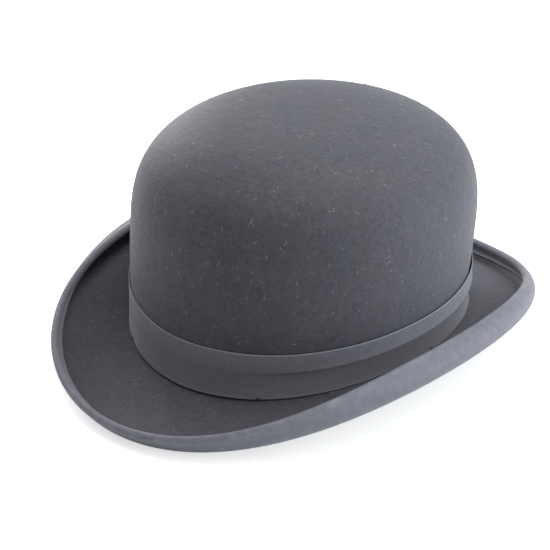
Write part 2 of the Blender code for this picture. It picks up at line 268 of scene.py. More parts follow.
def even_levels(first, last, count):
    """Dome levels that are evenly spaced up the side of the crown."""
    fine = np.linspace(first, last, 2000)
    length = length_along(crown_point(0.0, fine))
    return np.interp(np.linspace(0, length[-1], count), length, fine)


def length_along(points):
    """Length of the line through these points, from its start to each of them."""
    return np.r_[0, np.cumsum(np.linalg.norm(np.diff(points, axis=0), axis=1))]


def loop_length(points):
    """Length of the closed line through these points."""
    return float(np.linalg.norm(np.roll(points, -1, axis=0) - points, axis=1).sum())


def smooth(value, start, stop):
    """0 before start and 1 after stop, eased between them."""
    share = np.clip((value - start) / (stop - start), 0, 1)
    return share * share * (3 - 2 * share)


def ripple(theta, terms, seed):
    """Slow irregular waves round the hat, between about -1 and 1."""
    phases = np.random.default_rng(seed).uniform(0, tau, len(terms))
    return sum(np.cos(count * theta + phase) for count, phase in zip(terms, phases)) / len(terms)


# Meshes


def grid_faces(columns, rows, ring_columns=True, ring_rows=False):
    """Corner numbers of a grid's faces, which look out where its rows run upwards."""
    i, j = np.meshgrid(
        np.arange(columns if ring_columns else columns - 1),
        np.arange(rows if ring_rows else rows - 1),
        indexing="ij",
    )
    corners = [(i, j), (i + 1, j), (i + 1, j + 1), (i, j + 1)]
    return np.stack([(a % columns) * rows + b % rows for a, b in corners], axis=-1).reshape(-1, 4)


def grid_uv(skin, shares, ring_columns=True):
    """A grid's corner UVs: metres along the middle row, and each row's share of the width."""
    columns, rows = skin.shape[:2]
    middle = skin[:, rows // 2]
    along = np.linalg.norm(np.roll(middle, -1, axis=0) - middle, axis=1)
    u, v = np.r_[0, np.cumsum(along)], np.r_[shares, shares[0]]
    i, j = np.meshgrid(
        np.arange(columns if ring_columns else columns - 1),
        np.arange(rows),
        indexing="ij",
    )
    corners = [(i, j), (i + 1, j), (i + 1, j + 1), (i, j + 1)]
    return np.stack([np.stack([u[a], v[b]], axis=-1) for a, b in corners], axis=-2).reshape(-1, 2)


def make_piece(name, points, faces, material, uv=None):
    """A smooth-shaded mesh piece that rides on the hat."""
    mesh = bpy.data.meshes.new(name)
    mesh.from_pydata(np.asarray(points).reshape(-1, 3).tolist(), [], [list(f) for f in faces])
    if uv is not None:
        layer = mesh.uv_layers.new(name="metres")
        layer.data.foreach_set("uv", np.asarray(uv, dtype=np.float32).ravel())
    mesh.shade_smooth()
    mesh.materials.append(material)
    piece = bpy.data.objects.new(name, mesh)
    bpy.context.scene.collection.objects.link(piece)
    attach(piece, "root")
    return piece


def skin_normals(skin, ring_columns=True):
    """Unit vectors out of a skin whose rows run upwards."""
    if ring_columns:
        along = np.roll(skin, -1, axis=0) - np.roll(skin, 1, axis=0)
    else:
        along = np.gradient(skin, axis=0)
    return unit(np.cross(along, np.gradient(skin, axis=1)))


def wrap_strip(face, thickness, ring_columns=True):
    """The whole section of a strip with this outer face: that face, a rounded edge, its back and
    the other rounded edge. Its rows close on themselves."""
    out = skin_normals(face, ring_columns)
    across = unit(np.gradient(face, axis=1))
    back = face - out * thickness
    rounds = []
    for edge, side in ((-1, 1), (0, -1)):
        middle = face[:, edge] - out[:, edge] * thickness / 2
        for turn in (45, 90, 135):
            swing = radians(turn if side > 0 else 180 - turn)
            bulge = out[:, edge] * np.cos(swing) + across[:, edge] * side * np.sin(swing)
            rounds.append((middle + bulge * thickness / 2)[:, None])
    return np.concatenate([face, *rounds[:3], back[:, ::-1], *rounds[3:]], axis=1)


def row_shares(face):
    """How far across the strip each row is, from 0 to 1, on its middle column."""
    length = length_along(face[len(face) // 2])
    return length / length[-1]


def make_strip(name, face, thickness, material, ring_columns=True):
    """A closed strip of ribbon, leather or cloth, from the grid of its outer face."""
    skin = wrap_strip(face, thickness, ring_columns)
    columns, rows = skin.shape[:2]
    share = row_shares(face)
    shares = np.r_[share, 1, 1, 1, share[::-1], 0, 0, 0]
    faces = grid_faces(columns, rows, ring_columns, ring_rows=True).tolist()
    uv = grid_uv(skin, shares, ring_columns)
    if not ring_columns:
        last = (columns - 1) * rows
        faces += [list(range(rows)), list(range(last, last + rows))[::-1]]
        uv = np.concatenate([uv, np.zeros((2 * rows, 2))])
    return make_piece(name, skin, faces, material, uv)


def make_dome(name, skin, poles, material):
    """A closed shell whose rows run from one pole, round its rim, to the other pole."""
    columns, rows = skin.shape[:2]
    points = np.concatenate([skin.reshape(-1, 3), np.array(poles)])
    here = np.arange(columns) * rows
    there = np.roll(here, -1)
    first, last = np.full(columns, columns * rows), np.full(columns, columns * rows + 1)
    faces = grid_faces(columns, rows).tolist()
    faces += np.stack([there, here, first], axis=-1).tolist()
    faces += np.stack([here + rows - 1, there + rows - 1, last], axis=-1).tolist()
    return make_piece(name, points, faces, material)


def tube_skin(path, radius, sides, reference, closed=False):
    """Rings of points round a path. radius may change along it and round it."""
    if closed:
        along = unit(np.roll(path, -1, axis=0) - np.roll(path, 1, axis=0))
    else:
        along = unit(np.gradient(path, axis=0))
    first = unit(np.cross(along, reference))
    second = np.cross(first, along)
    turn = (tau * np.arange(sides) / sides)[:, None]
    ways = first[:, None] * np.cos(turn) + second[:, None] * np.sin(turn)
    return path[:, None] + ways * np.broadcast_to(radius, (len(path), sides))[..., None]


def make_cord(name, path, radius, sides, material):
    """A closed cord round the hat."""
    skin = tube_skin(path, radius, sides, UP, closed=True)
    uv = grid_uv(skin, np.arange(sides) / sides)
    faces = grid_faces(len(path), sides, ring_rows=True).tolist()
    return make_piece(name, skin, faces, material, uv)


def make_threads(name, paths, radius, sides, reference, material):
    """Short threads with tapered ends, as one piece. None of them runs along reference."""
    points, faces, uvs, count = [], [], [], 0
    tip = 0.35
    for path in paths:
        steps = len(path)
        taper = np.ones((steps, 1))
        taper[[0, -1]] = tip
        skin = tube_skin(path, radius * taper, sides, reference)
        points.append(skin.reshape(-1, 3))
        last = count + (steps - 1) * sides
        faces += (grid_faces(steps, sides, False, True) + count).tolist()
        faces += [list(range(count, count + sides)), list(range(last, last + sides))[::-1]]
        uvs += [grid_uv(skin, np.arange(sides) / sides, False), np.zeros((2 * sides, 2))]
        count += steps * sides
    return make_piece(name, np.concatenate(points), faces, material, np.concatenate(uvs))


# Materials


def add(tree, kind, inputs=None, **settings):
    """A node with these settings, and with a value or a link on each named input."""
    made = tree.nodes.new(kind)
    for name, value in settings.items():
        setattr(made, name, value)
    for name, value in (inputs or {}).items():
        if isinstance(value, bpy.types.NodeSocket):
            tree.links.new(value, made.inputs[name])
        else:
            made.inputs[name].default_value = value
    return made


def finish_of(name, roughness, **sockets):
    """A new material and its shader, with these numbers set on the shader."""
    material = bpy.data.materials.new(name)
    material.use_nodes = True
    shader = material.node_tree.nodes["Principled BSDF"]
    shader.inputs["Roughness"].default_value = roughness
    for socket, value in sockets.items():
        shader.inputs[socket.replace("_", " ")].default_value = value
    return material, shader


def coordinates(tree, kind):
    """The surface's own coordinates: its object's metres, or its UV."""
    return add(tree, "ShaderNodeTexCoord").outputs[kind]


def noise(tree, scale, detail=3.0, roughness=0.55, where=None):
    """Noise with about scale features a metre, unless where says that lengths are others."""
    where = where or coordinates(tree, "Object")
    inputs = {"Vector": where, "Scale": scale, "Detail": detail, "Roughness": roughness}
    return add(tree, "ShaderNodeTexNoise", inputs).outputs["Fac"]


def maths(tree, operation, first, second=0.0, third=0.0):
    """The result of one operation on numbers."""
    inputs = {0: first, 1: second, 2: third}
    return add(tree, "ShaderNodeMath", inputs, operation=operation).outputs[0]


def remap(tree, value, low, high, to_low=0.0, to_high=1.0):
    """value from low..high to to_low..to_high, clamped and eased."""
    inputs = {"Value": value, "From Min": low, "From Max": high, "To Min": to_low, "To Max": to_high}
    made = add(tree, "ShaderNodeMapRange", inputs, interpolation_type="SMOOTHSTEP")
    return made.outputs["Result"]


def mix(tree, factor, first, second):
    """Colours mixed by factor."""
    made = add(tree, "ShaderNodeMix", data_type="RGBA")
    sockets = {socket.name: socket for socket in made.inputs if socket.enabled}
    for name, value in (("Factor", factor), ("A", first), ("B", second)):
        if isinstance(value, bpy.types.NodeSocket):
            tree.links.new(value, sockets[name])
        else:
            sockets[name].default_value = (*value, 1)
    return [socket for socket in made.outputs if socket.enabled][0]


def bump(tree, shader, height, distance, strength):
    """Relief on the shader, at most this distance high in metres."""
    inputs = {"Height": height, "Distance": distance, "Strength": strength}
    made = add(tree, "ShaderNodeBump", inputs)
    tree.links.new(made.outputs["Normal"], shader.inputs["Normal"])


def felt_finish():
    """Short napped fur felt: mottled, matted in tufts, with dust in the nap."""
    material, shader = finish_of(
        "felt", 0.58, Sheen_Weight=0.24, Sheen_Roughness=0.50, Specular_IOR_Level=0.24
    )
    shader.inputs["Sheen Tint"].default_value = (0.92, 0.94, 1.0, 1)
    tree = material.node_tree
    patches = remap(tree, noise(tree, 36, 3.0), 0.36, 0.64)
    nap = remap(tree, noise(tree, 420, 3.0, 0.65), 0.30, 0.70)
    tufts = remap(tree, noise(tree, 170, 4.0, 0.7), 0.34, 0.66)
    faded = remap(tree, noise(tree, 90, 3.0), 0.50, 0.68, 0.0, 0.6)
    grain = noise(tree, 1600, 2.0)
    colour = mix(tree, patches, (0.038, 0.037, 0.047), (0.048, 0.044, 0.051))
    colour = mix(tree, nap, colour, (0.066, 0.064, 0.077))
    colour = mix(tree, maths(tree, "MULTIPLY", tufts, 0.40), colour, (0.080, 0.077, 0.094))
    colour = mix(tree, faded, colour, (0.051, 0.055, 0.068))
    place = coordinates(tree, "Object")
    cells = add(tree, "ShaderNodeTexVoronoi", {"Vector": place, "Scale": 300, "Randomness": 1.0})
    speck = remap(tree, cells.outputs["Distance"], 0.13, 0.07)
    chosen = remap(tree, noise(tree, 170, 2.0), 0.54, 0.60, 0.0, 0.75)
    colour = mix(tree, maths(tree, "MULTIPLY", speck, chosen), colour, (0.30, 0.30, 0.30))
    tree.links.new(colour, shader.inputs["Base Color"])
    height = maths(tree, "MULTIPLY_ADD", nap, 0.25, maths(tree, "MULTIPLY", grain, 0.5))
    height = maths(tree, "MULTIPLY_ADD", tufts, 0.35, height)
    bump(tree, shader, height, 0.00026, 0.9)
    return material


def ribbon_finish(name, colours, pitch, edge=0.02, worn=None, painted_foot_light=0.0, **sockets):
    """Ribbed ribbon. u runs along it in metres, and v across it from 0 to 1.

    edge is its selvedge's width, worn is where across it the ribbon is rubbed pale, and the last
    number is how much painted light lifts it towards its foot, where it stands in shade above the
    brim.
    """
    dark, light, selvedge = colours
    material, shader = finish_of(name, 0.62, **sockets)
    tree = material.node_tree
    place = add(tree, "ShaderNodeSeparateXYZ", {"Vector": coordinates(tree, "UV")})
    u, v = place.outputs["X"], place.outputs["Y"]
    ribs = maths(tree, "SINE", maths(tree, "MULTIPLY", u, tau / pitch))
    ribs = maths(tree, "MULTIPLY_ADD", ribs, 0.5, 0.5)
    mottle = remap(tree, noise(tree, 240, 4.0, 0.65), 0.30, 0.74)
    colour = mix(tree, mottle, dark, light)
    colour = mix(tree, maths(tree, "MULTIPLY", ribs, 0.18), colour, light)
    aside = maths(tree, "ABSOLUTE", maths(tree, "SUBTRACT", v, 0.5))
    beside = remap(tree, aside, 0.5 - 1.5 * edge, 0.5 - 0.7 * edge, 0.0, 0.8)
    colour = mix(tree, beside, colour, selvedge)
    if worn is not None:
        away = maths(tree, "ABSOLUTE", maths(tree, "SUBTRACT", v, worn))
        patchy = remap(tree, noise(tree, 60), 0.42, 0.68)
        rubbed = maths(tree, "MULTIPLY", remap(tree, away, 0.10, 0.0), patchy)
        colour = mix(tree, maths(tree, "MULTIPLY", rubbed, 0.6), colour, selvedge)
    if painted_foot_light:
        # painted light: lighter towards the foot, standing in for light in the shade above the brim
        painted_light = remap(tree, v, 0.62, 0.0, 0.0, painted_foot_light)
        colour = mix(tree, painted_light, colour, (0.30, 0.30, 0.33))
    lint = remap(tree, noise(tree, 900, 1.0), 0.74, 0.80, 0.0, 0.5)
    colour = mix(tree, lint, colour, (0.38, 0.38, 0.38))
    tree.links.new(colour, shader.inputs["Base Color"])
    bump(tree, shader, maths(tree, "MULTIPLY_ADD", mottle, 0.3, ribs), 0.00009, 0.6)
    return material


def satin_finish(name, dark, light):
    """Satin: long floats that shine across the weave, with soft creases."""
    material, shader = finish_of(name, 0.34, Anisotropic=0.55, Sheen_Weight=0.15)
    tree = material.node_tree
    place = coordinates(tree, "UV")
    stretched = add(tree, "ShaderNodeMapping", {"Vector": place, "Scale": (2600, 14, 1)})
    floats = noise(tree, 1.0, 2.0, where=stretched.outputs["Vector"])
    crease = noise(tree, 45, 2.0)
    stain = remap(tree, noise(tree, 22, 3.0), 0.45, 0.72, 0.0, 0.5)
    colour = mix(tree, floats, dark, light)
    colour = mix(tree, stain, colour, tuple(0.72 * c for c in dark))
    tree.links.new(colour, shader.inputs["Base Color"])
    height = maths(tree, "MULTIPLY_ADD", floats, 0.15, crease)
    bump(tree, shader, height, 0.0006, 0.5)
    return material


def leather_finish():
    """Tan sweatband leather: fine grain, darker where a head has been, and a butted rear seam."""
    material, shader = finish_of("leather", 0.46, Specular_IOR_Level=0.45, Coat_Weight=0.12)
    shader.inputs["Coat Roughness"].default_value = 0.35
    tree = material.node_tree
    place = coordinates(tree, "Object")
    pores = add(
        tree, "ShaderNodeTexVoronoi", {"Vector": place, "Scale": 1500}, feature="DISTANCE_TO_EDGE"
    )
    grain = remap(tree, pores.outputs["Distance"], 0.0, 0.30)
    worn = remap(tree, noise(tree, 34, 4.0), 0.40, 0.72)
    colour = mix(tree, worn, (0.33, 0.165, 0.075), (0.20, 0.090, 0.040))
    colour = mix(tree, remap(tree, grain, 0.0, 1.0, 0.35, 0.0), colour, (0.12, 0.05, 0.022))
    sides = add(tree, "ShaderNodeSeparateXYZ", {"Vector": place})
    seam = remap(tree, maths(tree, "ABSOLUTE", sides.outputs["X"]), 0.0005, 0.0002)
    seam = maths(tree, "MULTIPLY", seam, maths(tree, "GREATER_THAN", sides.outputs["Y"], 0.0))
    colour = mix(tree, seam, colour, (0.06, 0.028, 0.014))
    tree.links.new(colour, shader.inputs["Base Color"])
    crease = noise(tree, 160, 3.0)
    height = maths(tree, "MULTIPLY_ADD", grain, 0.25, maths(tree, "SUBTRACT", crease, seam))
    bump(tree, shader, height, 0.0003, 0.55)
    return material


def thread_finish(name, dark, light):
    """Two-ply thread. u runs along it in metres, and v round it from 0 to 1."""
    material, shader = finish_of(name, 0.7, Sheen_Weight=0.3)
    lay = 0.0009
    tree = material.node_tree
    place = add(tree, "ShaderNodeSeparateXYZ", {"Vector": coordinates(tree, "UV")})
    along = maths(tree, "MULTIPLY", place.outputs["X"], tau / lay)
    twist = maths(tree, "SINE", maths(tree, "MULTIPLY_ADD", place.outputs["Y"], 2 * tau, along))
    twist = maths(tree, "MULTIPLY_ADD", twist, 0.5, 0.5)
    tree.links.new(mix(tree, twist, dark, light), shader.inputs["Base Color"])
    bump(tree, shader, twist, 0.00008, 0.8)
    return material


def hair_finish():
    """Stray hairs, some pale and most of them nearly the felt's own grey."""
    material, shader = finish_of("lint", 0.75)
    tree = material.node_tree
    pale = remap(tree, noise(tree, 210, 1.0), 0.46, 0.66)
    colour = mix(tree, pale, (0.17, 0.17, 0.18), (0.74, 0.73, 0.70))
    tree.links.new(colour, shader.inputs["Base Color"])
    return material


def cane_finish():
    """Split cane with long fibres."""
    material, shader = finish_of("cane", 0.55)
    tree = material.node_tree
    place = coordinates(tree, "UV")
    fibres = add(tree, "ShaderNodeMapping", {"Vector": place, "Scale": (60, 26, 1)})
    streaks = noise(tree, 1.0, 4.0, where=fibres.outputs["Vector"])
    colour = mix(tree, streaks, (0.40, 0.26, 0.12), (0.66, 0.50, 0.30))
    tree.links.new(colour, shader.inputs["Base Color"])
    bump(tree, shader, streaks, 0.0001, 0.6)
    return material


def oilcloth_finish():
    """Black waxed cloth with its weave showing through."""
    material, shader = finish_of("oilcloth", 0.42, Coat_Weight=0.2)
    tree = material.node_tree
    place = coordinates(tree, "Object")
    weave = add(tree, "ShaderNodeTexVoronoi", {"Vector": place, "Scale": 1800, "Randomness": 0.25})
    cracks = remap(tree, noise(tree, 220, 4.0, 0.7), 0.50, 0.62)
    colour = mix(tree, cracks, (0.020, 0.019, 0.018), (0.050, 0.046, 0.042))
    tree.links.new(colour, shader.inputs["Base Color"])
    height = maths(tree, "SUBTRACT", weave.outputs["Distance"], cracks)
    bump(tree, shader, height, 0.00012, 0.6)
    return material


def paper_finish():
    """Old card, yellowed unevenly."""
    material, shader = finish_of("paper", 0.86)
    tree = material.node_tree
    yellowed = remap(tree, noise(tree, 140, 4.0), 0.35, 0.70)
    colour = mix(tree, yellowed, (0.70, 0.65, 0.52), (0.60, 0.52, 0.38))
    tree.links.new(colour, shader.inputs["Base Color"])
    bump(tree, shader, noise(tree, 2600, 2.0), 0.00004, 0.7)
    return material


# Pieces


def under_over(places, heights):
    """Points straight under or over the first points, as high as the second."""
    return np.concatenate([places[..., :2], heights[..., 2:]], axis=-1)


def bend(start, corner, end, steps=7):
    """Rows of a smooth bend between two rows, without the two."""
    share = (np.arange(1, steps) / steps)[None, :, None]
    return start * (1 - share) ** 2 + 2 * corner * share * (1 - share) + end * share**2


def felt_body(felt):
    """Crown and brim in one shell, from the inside of the crown round the brim's edge and up to
    the top of the crown."""
    theta = ring()
    half = FELT / 2
    edge = brim_width(theta) - BINDING_OFFSET + GAP
    fillet = BREAK_FILLET + half
    foot = level_at(theta, fillet)
    dome = even_levels(1, 2, 56)[1:-1] * np.ones_like(theta)
    inside_levels = np.concatenate([rows_between(foot, 1, 16), dome[:, ::2]], axis=1)
    outside_levels = np.concatenate([rows_between(foot, 1, 40), dome], axis=1)
    inside = crown_skin(theta, inside_levels, -FELT)
    outside = crown_skin(theta, outside_levels, 0.0)
    under = brim_skin(theta, rows_between(fillet, edge, 64), half)
    top = brim_skin(theta, rows_between(edge, BREAK_FILLET, 80), -half)
    wall_in = crown_skin(theta, 0 * theta, -FELT)
    wall_out = crown_skin(theta, level_at(theta, half), 0.0)
    inner_corner = under_over(wall_in, brim_skin(theta, 0 * theta, half))
    outer_corner = under_over(wall_out, brim_skin(theta, 0 * theta, -half))
    rows = [
        inside[:, ::-1],
        bend(inside[:, :1], inner_corner, under[:, :1]),
        under,
        brim_skin(theta, edge + half * 0.7, half * 0.6),
        brim_skin(theta, edge + half * 0.7, -half * 0.6),
        top,
        bend(top[:, -1:], outer_corner, outside[:, :1]),
        outside,
    ]
    top = crown_point(0.0, 2.0)
    poles = [top - UP * FELT, top]
    body = make_dome("felt_shell", np.concatenate(rows, axis=1), poles, felt)
    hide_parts("felt_body")


def lint(material):
    """Stray hairs caught in the nap of the crown, its dome and the brim."""
    wall_radius, dome_radius, brim_radius = 0.095, 0.06, 0.12
    metres_a_level = 0.09
    chance = np.random.default_rng(7)
    paths = []
    for number in range(LINT_HAIRS):
        length = chance.uniform(*LINT_LENGTH)
        heading, curl = chance.uniform(0, tau), chance.normal(0, 260)
        theta = chance.uniform(0, tau)
        way = heading + curl * length * np.linspace(-0.5, 0.5, LINT_POINTS)
        east = np.cumsum(np.cos(way)) * length / (LINT_POINTS - 1)
        up = np.cumsum(np.sin(way)) * length / (LINT_POINTS - 1)
        arch = np.sin(np.linspace(0, pi, LINT_POINTS)) ** 2
        lift = 0.00006 + 0.00025 * chance.random() * arch
        if number % 5:
            height = chance.uniform(0.034, 0.110)
            thetas = theta + east / wall_radius
            path = crown_skin(thetas, level_at(thetas, height) + up / metres_a_level, lift)
            if number % 3 == 0:
                level = 1 + chance.uniform(0.45, 0.93)
                path = crown_skin(theta + east / dome_radius, level + up / metres_a_level, lift)
        else:
            run = chance.uniform(0.004, 0.026)
            path = brim_skin(theta + east / brim_radius, run + up, -FELT / 2 - lift)
        paths.append(path)
    slanted = np.array([0.31, 0.27, 0.91])
    make_threads("felt_lint", paths, LINT_RADIUS, 4, slanted, material)


def brim_binding(ribbon):
    """Ribbon folded over the brim's edge. It lies flat where the hat stands on it."""
    theta = ring(COLUMNS * 2)
    width = brim_width(theta)
    fold = width - BINDING_OFFSET
    foot = width - BINDING_UNDER + 0.00025 * ripple(theta, (17, 31, 45), 3)
    end = width - BINDING_TOP + 0.00030 * ripple(theta, (13, 23, 41), 4)
    pucker = 0.00010 * ripple(theta, (61, 83, 97), 5)
    stitched = 0.004  # the puckers run this far in from the ribbon's sewn edges
    under_runs = rows_between(foot, fold, 34)
    sewn = smooth(under_runs - foot, stitched, 0.0)
    rows = [brim_skin(theta, under_runs, BINDING_OFFSET + pucker * sewn)]
    for turn in np.radians(np.arange(15, 180, 15)):
        reach, away = BINDING_OFFSET * np.sin(turn), BINDING_OFFSET * np.cos(turn)
        rows.append(brim_skin(theta, fold + reach, away))
    top_runs = rows_between(fold, end, 20)
    sewn = smooth(top_runs - end, stitched, 0.0)
    rows.append(brim_skin(theta, top_runs, -BINDING_OFFSET - pucker * sewn))
    face = np.concatenate(rows, axis=1)
    face[..., 2] = np.maximum(face[..., 2], 0)
    binding = make_strip("binding_ribbon", face, BINDING_THICKNESS, ribbon)
    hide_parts("brim_binding")


def band_relief(theta, share):
    """How far the band stands off its plain shape.

    It flares at its foot, except under the bow. Along the wearer's right it has a lengthwise fold,
    and is tucked in below it.
    """
    degrees = np.degrees(theta) % 360
    fold = smooth(degrees, 100, 158) * (1 - smooth(degrees, 235, 300))
    folded = np.interp(share, BAND_FOLD_AT, BAND_FOLD_OUT)
    loose = smooth(degrees, 25, 60) * (1 - smooth(degrees, 300, 335))
    plain = 0.0002 * np.sin(pi * share) + BAND_FLARE * loose * (1 - share) ** 3
    slack = 0.00022 * ripple(theta, (3, 5, 8, 13), 11) * np.sin(pi * share)
    dents = 0.00022 * np.maximum(ripple(theta, (11, 17, 29), 12), 0) * smooth(share, 1.0, 0.5)
    return plain + slack - dents + fold * folded


def hat_band(ribbon):
    """Ribbon round the foot of the crown. Its rows are closer together at its edges."""
    theta = ring(COLUMNS * 2)
    even = np.linspace(0, 1, 61)
    share = (0.25 * (1 - np.cos(pi * even)) / 2 + 0.75 * even) * np.ones_like(theta)
    wave = 0.0003 * ripple(theta, (4, 7, 11), 13)
    height = BAND_FOOT + (around(theta, BAND_TOP) - BAND_FOOT) * share + wave
    selvedge = 0.00010 * (smooth(share, 0.035, 0.015) + smooth(share, 0.965, 0.985))
    face = wall_skin(theta, height, BAND_OFFSET + band_relief(theta, share) + selvedge)
    band = make_strip("band_ribbon", face, BAND_THICKNESS, ribbon)
    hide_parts("hat_band")


def band_middle():
    """Height of the band's middle over the break, under the bow."""
    return (BAND_FOOT + float(around(0.0, BAND_TOP))) / 2


def ribbon_loops(name, centre, loops, middle, outer, depth, material, columns=44):
    """The loops of a flat bow: one ribbon folded back at both ends and gathered at its waist.

    loops are its half angle and its heights at the ends and at the waist, middle its height over
    the break, and outer how far its face is from the crown's outer face: below zero, it lies inside
    the hat and faces inwards.
    """
    inwards = -1 if outer < 0 else 1
    half_angle, (end_height, waist_height) = loops
    reach, thick = radians(half_angle), depth / 2
    front = np.linspace(-1, 1, columns)
    turn = np.radians(np.arange(75, -90, -15))
    angles = np.r_[front * reach, reach + thick / HALF_WIDTH * np.cos(turn)]
    angles = np.r_[angles, -angles]
    away = np.r_[np.full(columns, thick), thick * np.sin(turn)]
    away = np.r_[away, -away]
    share = np.minimum(np.abs(angles) / reach, 1)[:, None]
    half = (waist_height + (end_height - waist_height) * share**0.6) / 2
    across = np.linspace(-1, 1, 23)[None, :]
    gather = 0.00018 * np.cos(across * 5 * pi) * np.exp(-((share / 0.35) ** 2))
    belly = thick * 0.5 * np.sin(pi * share) * (1 - across**2) * np.sign(away)[:, None]
    offset = outer + inwards * (away[:, None] - thick + gather * np.sign(away)[:, None] + belly)
    theta = centre + inwards * angles[:, None]
    face = wall_skin(theta, middle + half * across, offset)
    piece = make_strip(name, face, min(thick, 0.00045) * 0.8, material)
    return piece, loop_length(face[:, 11])


def ribbon_knot(name, centre, half_angle, height, middle, base, outer, material):
    """The strip of ribbon wrapped over a flat bow's waist, with its gathers."""
    inwards = -1 if outer < 0 else 1
    across = np.linspace(-1, 1, 25)[:, None]
    up = np.linspace(-1, 1, 31)[None, :]
    over = (1 - np.abs(up) ** 5) ** 0.5
    gather = 0.00022 * np.cos(across * 3.5 * pi) * (1 - 0.5 * up**2)
    sides = 0.0006 * np.abs(across) ** 6
    offset = base + (outer - base) * over + inwards * (gather - 0.0002 - sides) * over
    narrow = 0.84 + 0.16 * up**2
    theta = centre + inwards * radians(half_angle) * across * narrow
    face = wall_skin(theta, middle + height / 2 * up * np.ones_like(across), offset)
    piece = make_strip(name, face, 0.0004, material, ring_columns=False)
    return piece, float(length_along(face[12])[-1])


def band_bow(ribbon):
    """Two layers of loops and their knot, flat on the band on the wearer's left."""
    middle, outer = band_middle(), BAND_OFFSET
    for name, node, loops in (
        ("bow_long_loops", "bow_back_loops", LONG_LOOPS),
        ("bow_short_loops", "bow_front_loops", SHORT_LOOPS),
    ):
        outer += LAYER_STEP
        piece, length = ribbon_loops(
            name, 0.0, loops, middle, outer, LOOP_DEPTH, ribbon
        )
        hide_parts(node)
    knot, length = ribbon_knot(
        "bow_wrap", 0.0, KNOT_HALF_ANGLE, KNOT_HEIGHT, middle,
        BAND_OFFSET + RIBBON, outer + 2 * RIBBON, ribbon,
    )
    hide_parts("bow_knot")


def tacks(thread):
    """Short stitches that hold the band at its foot, and the bow at its tips."""
    foot = BAND_FOOT + 0.0006
    radius, apart = 0.00020, 0.00022
    places = [(f"band_stitch_{n}", f"band_tack_{n}", radians(60 * n), foot) for n in range(1, 6)]
    past = radians(LONG_LOOPS[0] + TACK_PAST_LOOPS)
    places += [
        ("bow_stitch_front", "bow_tack_front", -past, band_middle()),
        ("bow_stitch_rear", "bow_tack_rear", past, band_middle()),
    ]
    step = np.linspace(-1, 1, 9)
    reach = TACK_HALF_LENGTH * step / HALF_LENGTH
    lift = 0.00022 - 0.0006 * np.abs(step) ** 6
    for name, node, theta, height in places:
        paths = []
        for shift in (-apart, apart):
            share = (height + shift - BAND_FOOT) / (float(around(theta, BAND_TOP)) - BAND_FOOT)
            face = BAND_OFFSET + band_relief(theta + reach, share)
            paths.append(wall_skin(theta + reach, height + shift * (1 - 2 * step), face + lift))
        stitch = make_threads(name, paths, radius, 8, UP, thread)
        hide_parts(node)


def sweatband_offset(height):
    """How far inside the felt the sweatband's outer face is: it leans back off the reed."""
    eased = smooth(height, SWEATBAND_FOOT, SWEATBAND_FOOT + SWEATBAND_EASE)
    return SWEATBAND_AT_FOOT + (SWEATBAND_AT_TOP - SWEATBAND_AT_FOOT) * eased


def sweatband(leather):
    """Leather round the inside of the crown, with a creased line under its top edge."""
    theta = ring()
    fine = np.linspace(SWEATBAND_TOP, 0.0525, 24)
    coarse = np.linspace(0.0515, SWEATBAND_FOOT, 34)
    height = np.r_[fine, coarse] * np.ones_like(theta)
    crease = 0.00025 * np.exp(-(((height - SWEATBAND_TOP + CREASE_DROP) / 0.00035) ** 2))
    height = height + 0.0004 * ripple(theta, (3, 5, 9), 21) * smooth(height, 0.03, SWEATBAND_TOP)
    inner = FELT + sweatband_offset(height) + LEATHER - crease
    inner = inner + 0.00025 * ripple(theta, (4, 7, 12), 22) * smooth(height, 0.012, 0.04)
    face = wall_skin(theta, height, -inner)
    band = make_strip("sweatband_skin", face, LEATHER, leather)
    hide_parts("sweatband")


def reed_middle(theta):
    """Points on the reed's middle line."""
    return wall_skin(theta, REED_DROP, -FELT - REED_INSET)


def sweatband_reed(cane):
    """Cane round the sweatband's foot, which stiffens it."""
    path = reed_middle(ring()[:, 0])
    reed = make_cord("reed_cane", path, REED_RADIUS, 20, cane)
    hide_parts("sweatband_reed")


def reed_welt(oilcloth):
    """Oilcloth strip that runs down the felt and turns under the reed."""
    theta = ring()
    radius = REED_RADIUS + GAP + OILCLOTH
    middle, out = reed_middle(theta), outward(theta)
    rows = []
    for turn in np.radians(np.arange(180, -1, -12)):
        rows.append(middle + out * radius * np.cos(turn) - UP * radius * np.sin(turn))
    start = rows[-1]
    end = wall_skin(theta, WELT_RISE, -FELT - REED_INSET + radius)
    rows += [start + (end - start) * share for share in np.linspace(0.1, 1, 10)]
    face = np.concatenate(rows, axis=1)
    welt = make_strip("welt_cloth", face, OILCLOTH, oilcloth)
    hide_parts("reed_welt")


def sweatband_seam(thread):
    """The row of stitches on the leather, just over the reed."""
    face = FELT + float(sweatband_offset(THREAD_HEIGHT)) + LEATHER
    radius, pitch = 0.00024, tau / SEAM_STITCHES
    step = np.linspace(0, 1, 8)
    height = THREAD_HEIGHT + 0.0003 * (step - 0.5)
    dip = 0.0006 * np.abs(2 * step - 1) ** 6
    starts = pitch * (np.arange(SEAM_STITCHES) + 0.15)
    length = 0.72 * pitch
    paths = [wall_skin(start + step * length, height, dip - face - radius / 2) for start in starts]
    seam = make_threads("sweatband_stitches", paths, radius, 8, UP, thread)
    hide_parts("sweatband_thread")


def sweatband_bow(ribbon):
    """The small bow on the sweatband at the back of the head."""
    height, rear = SMALL_BOW_HEIGHT, pi / 2
    face = -FELT - float(sweatband_offset(height)) - LEATHER
    loops, _ = ribbon_loops(
        "small_bow_loops", rear, SMALL_LOOPS, height,
        face - 0.0016, SMALL_LOOP_DEPTH, ribbon,
    )
    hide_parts("sweatband_bow_loops")
    knot, _ = ribbon_knot(
        "small_bow_wrap", rear, SMALL_KNOT_HALF_ANGLE, SMALL_KNOT_HEIGHT, height,
        face - GAP, face - 0.0030, ribbon,
    )
    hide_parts("sweatband_bow_knot")


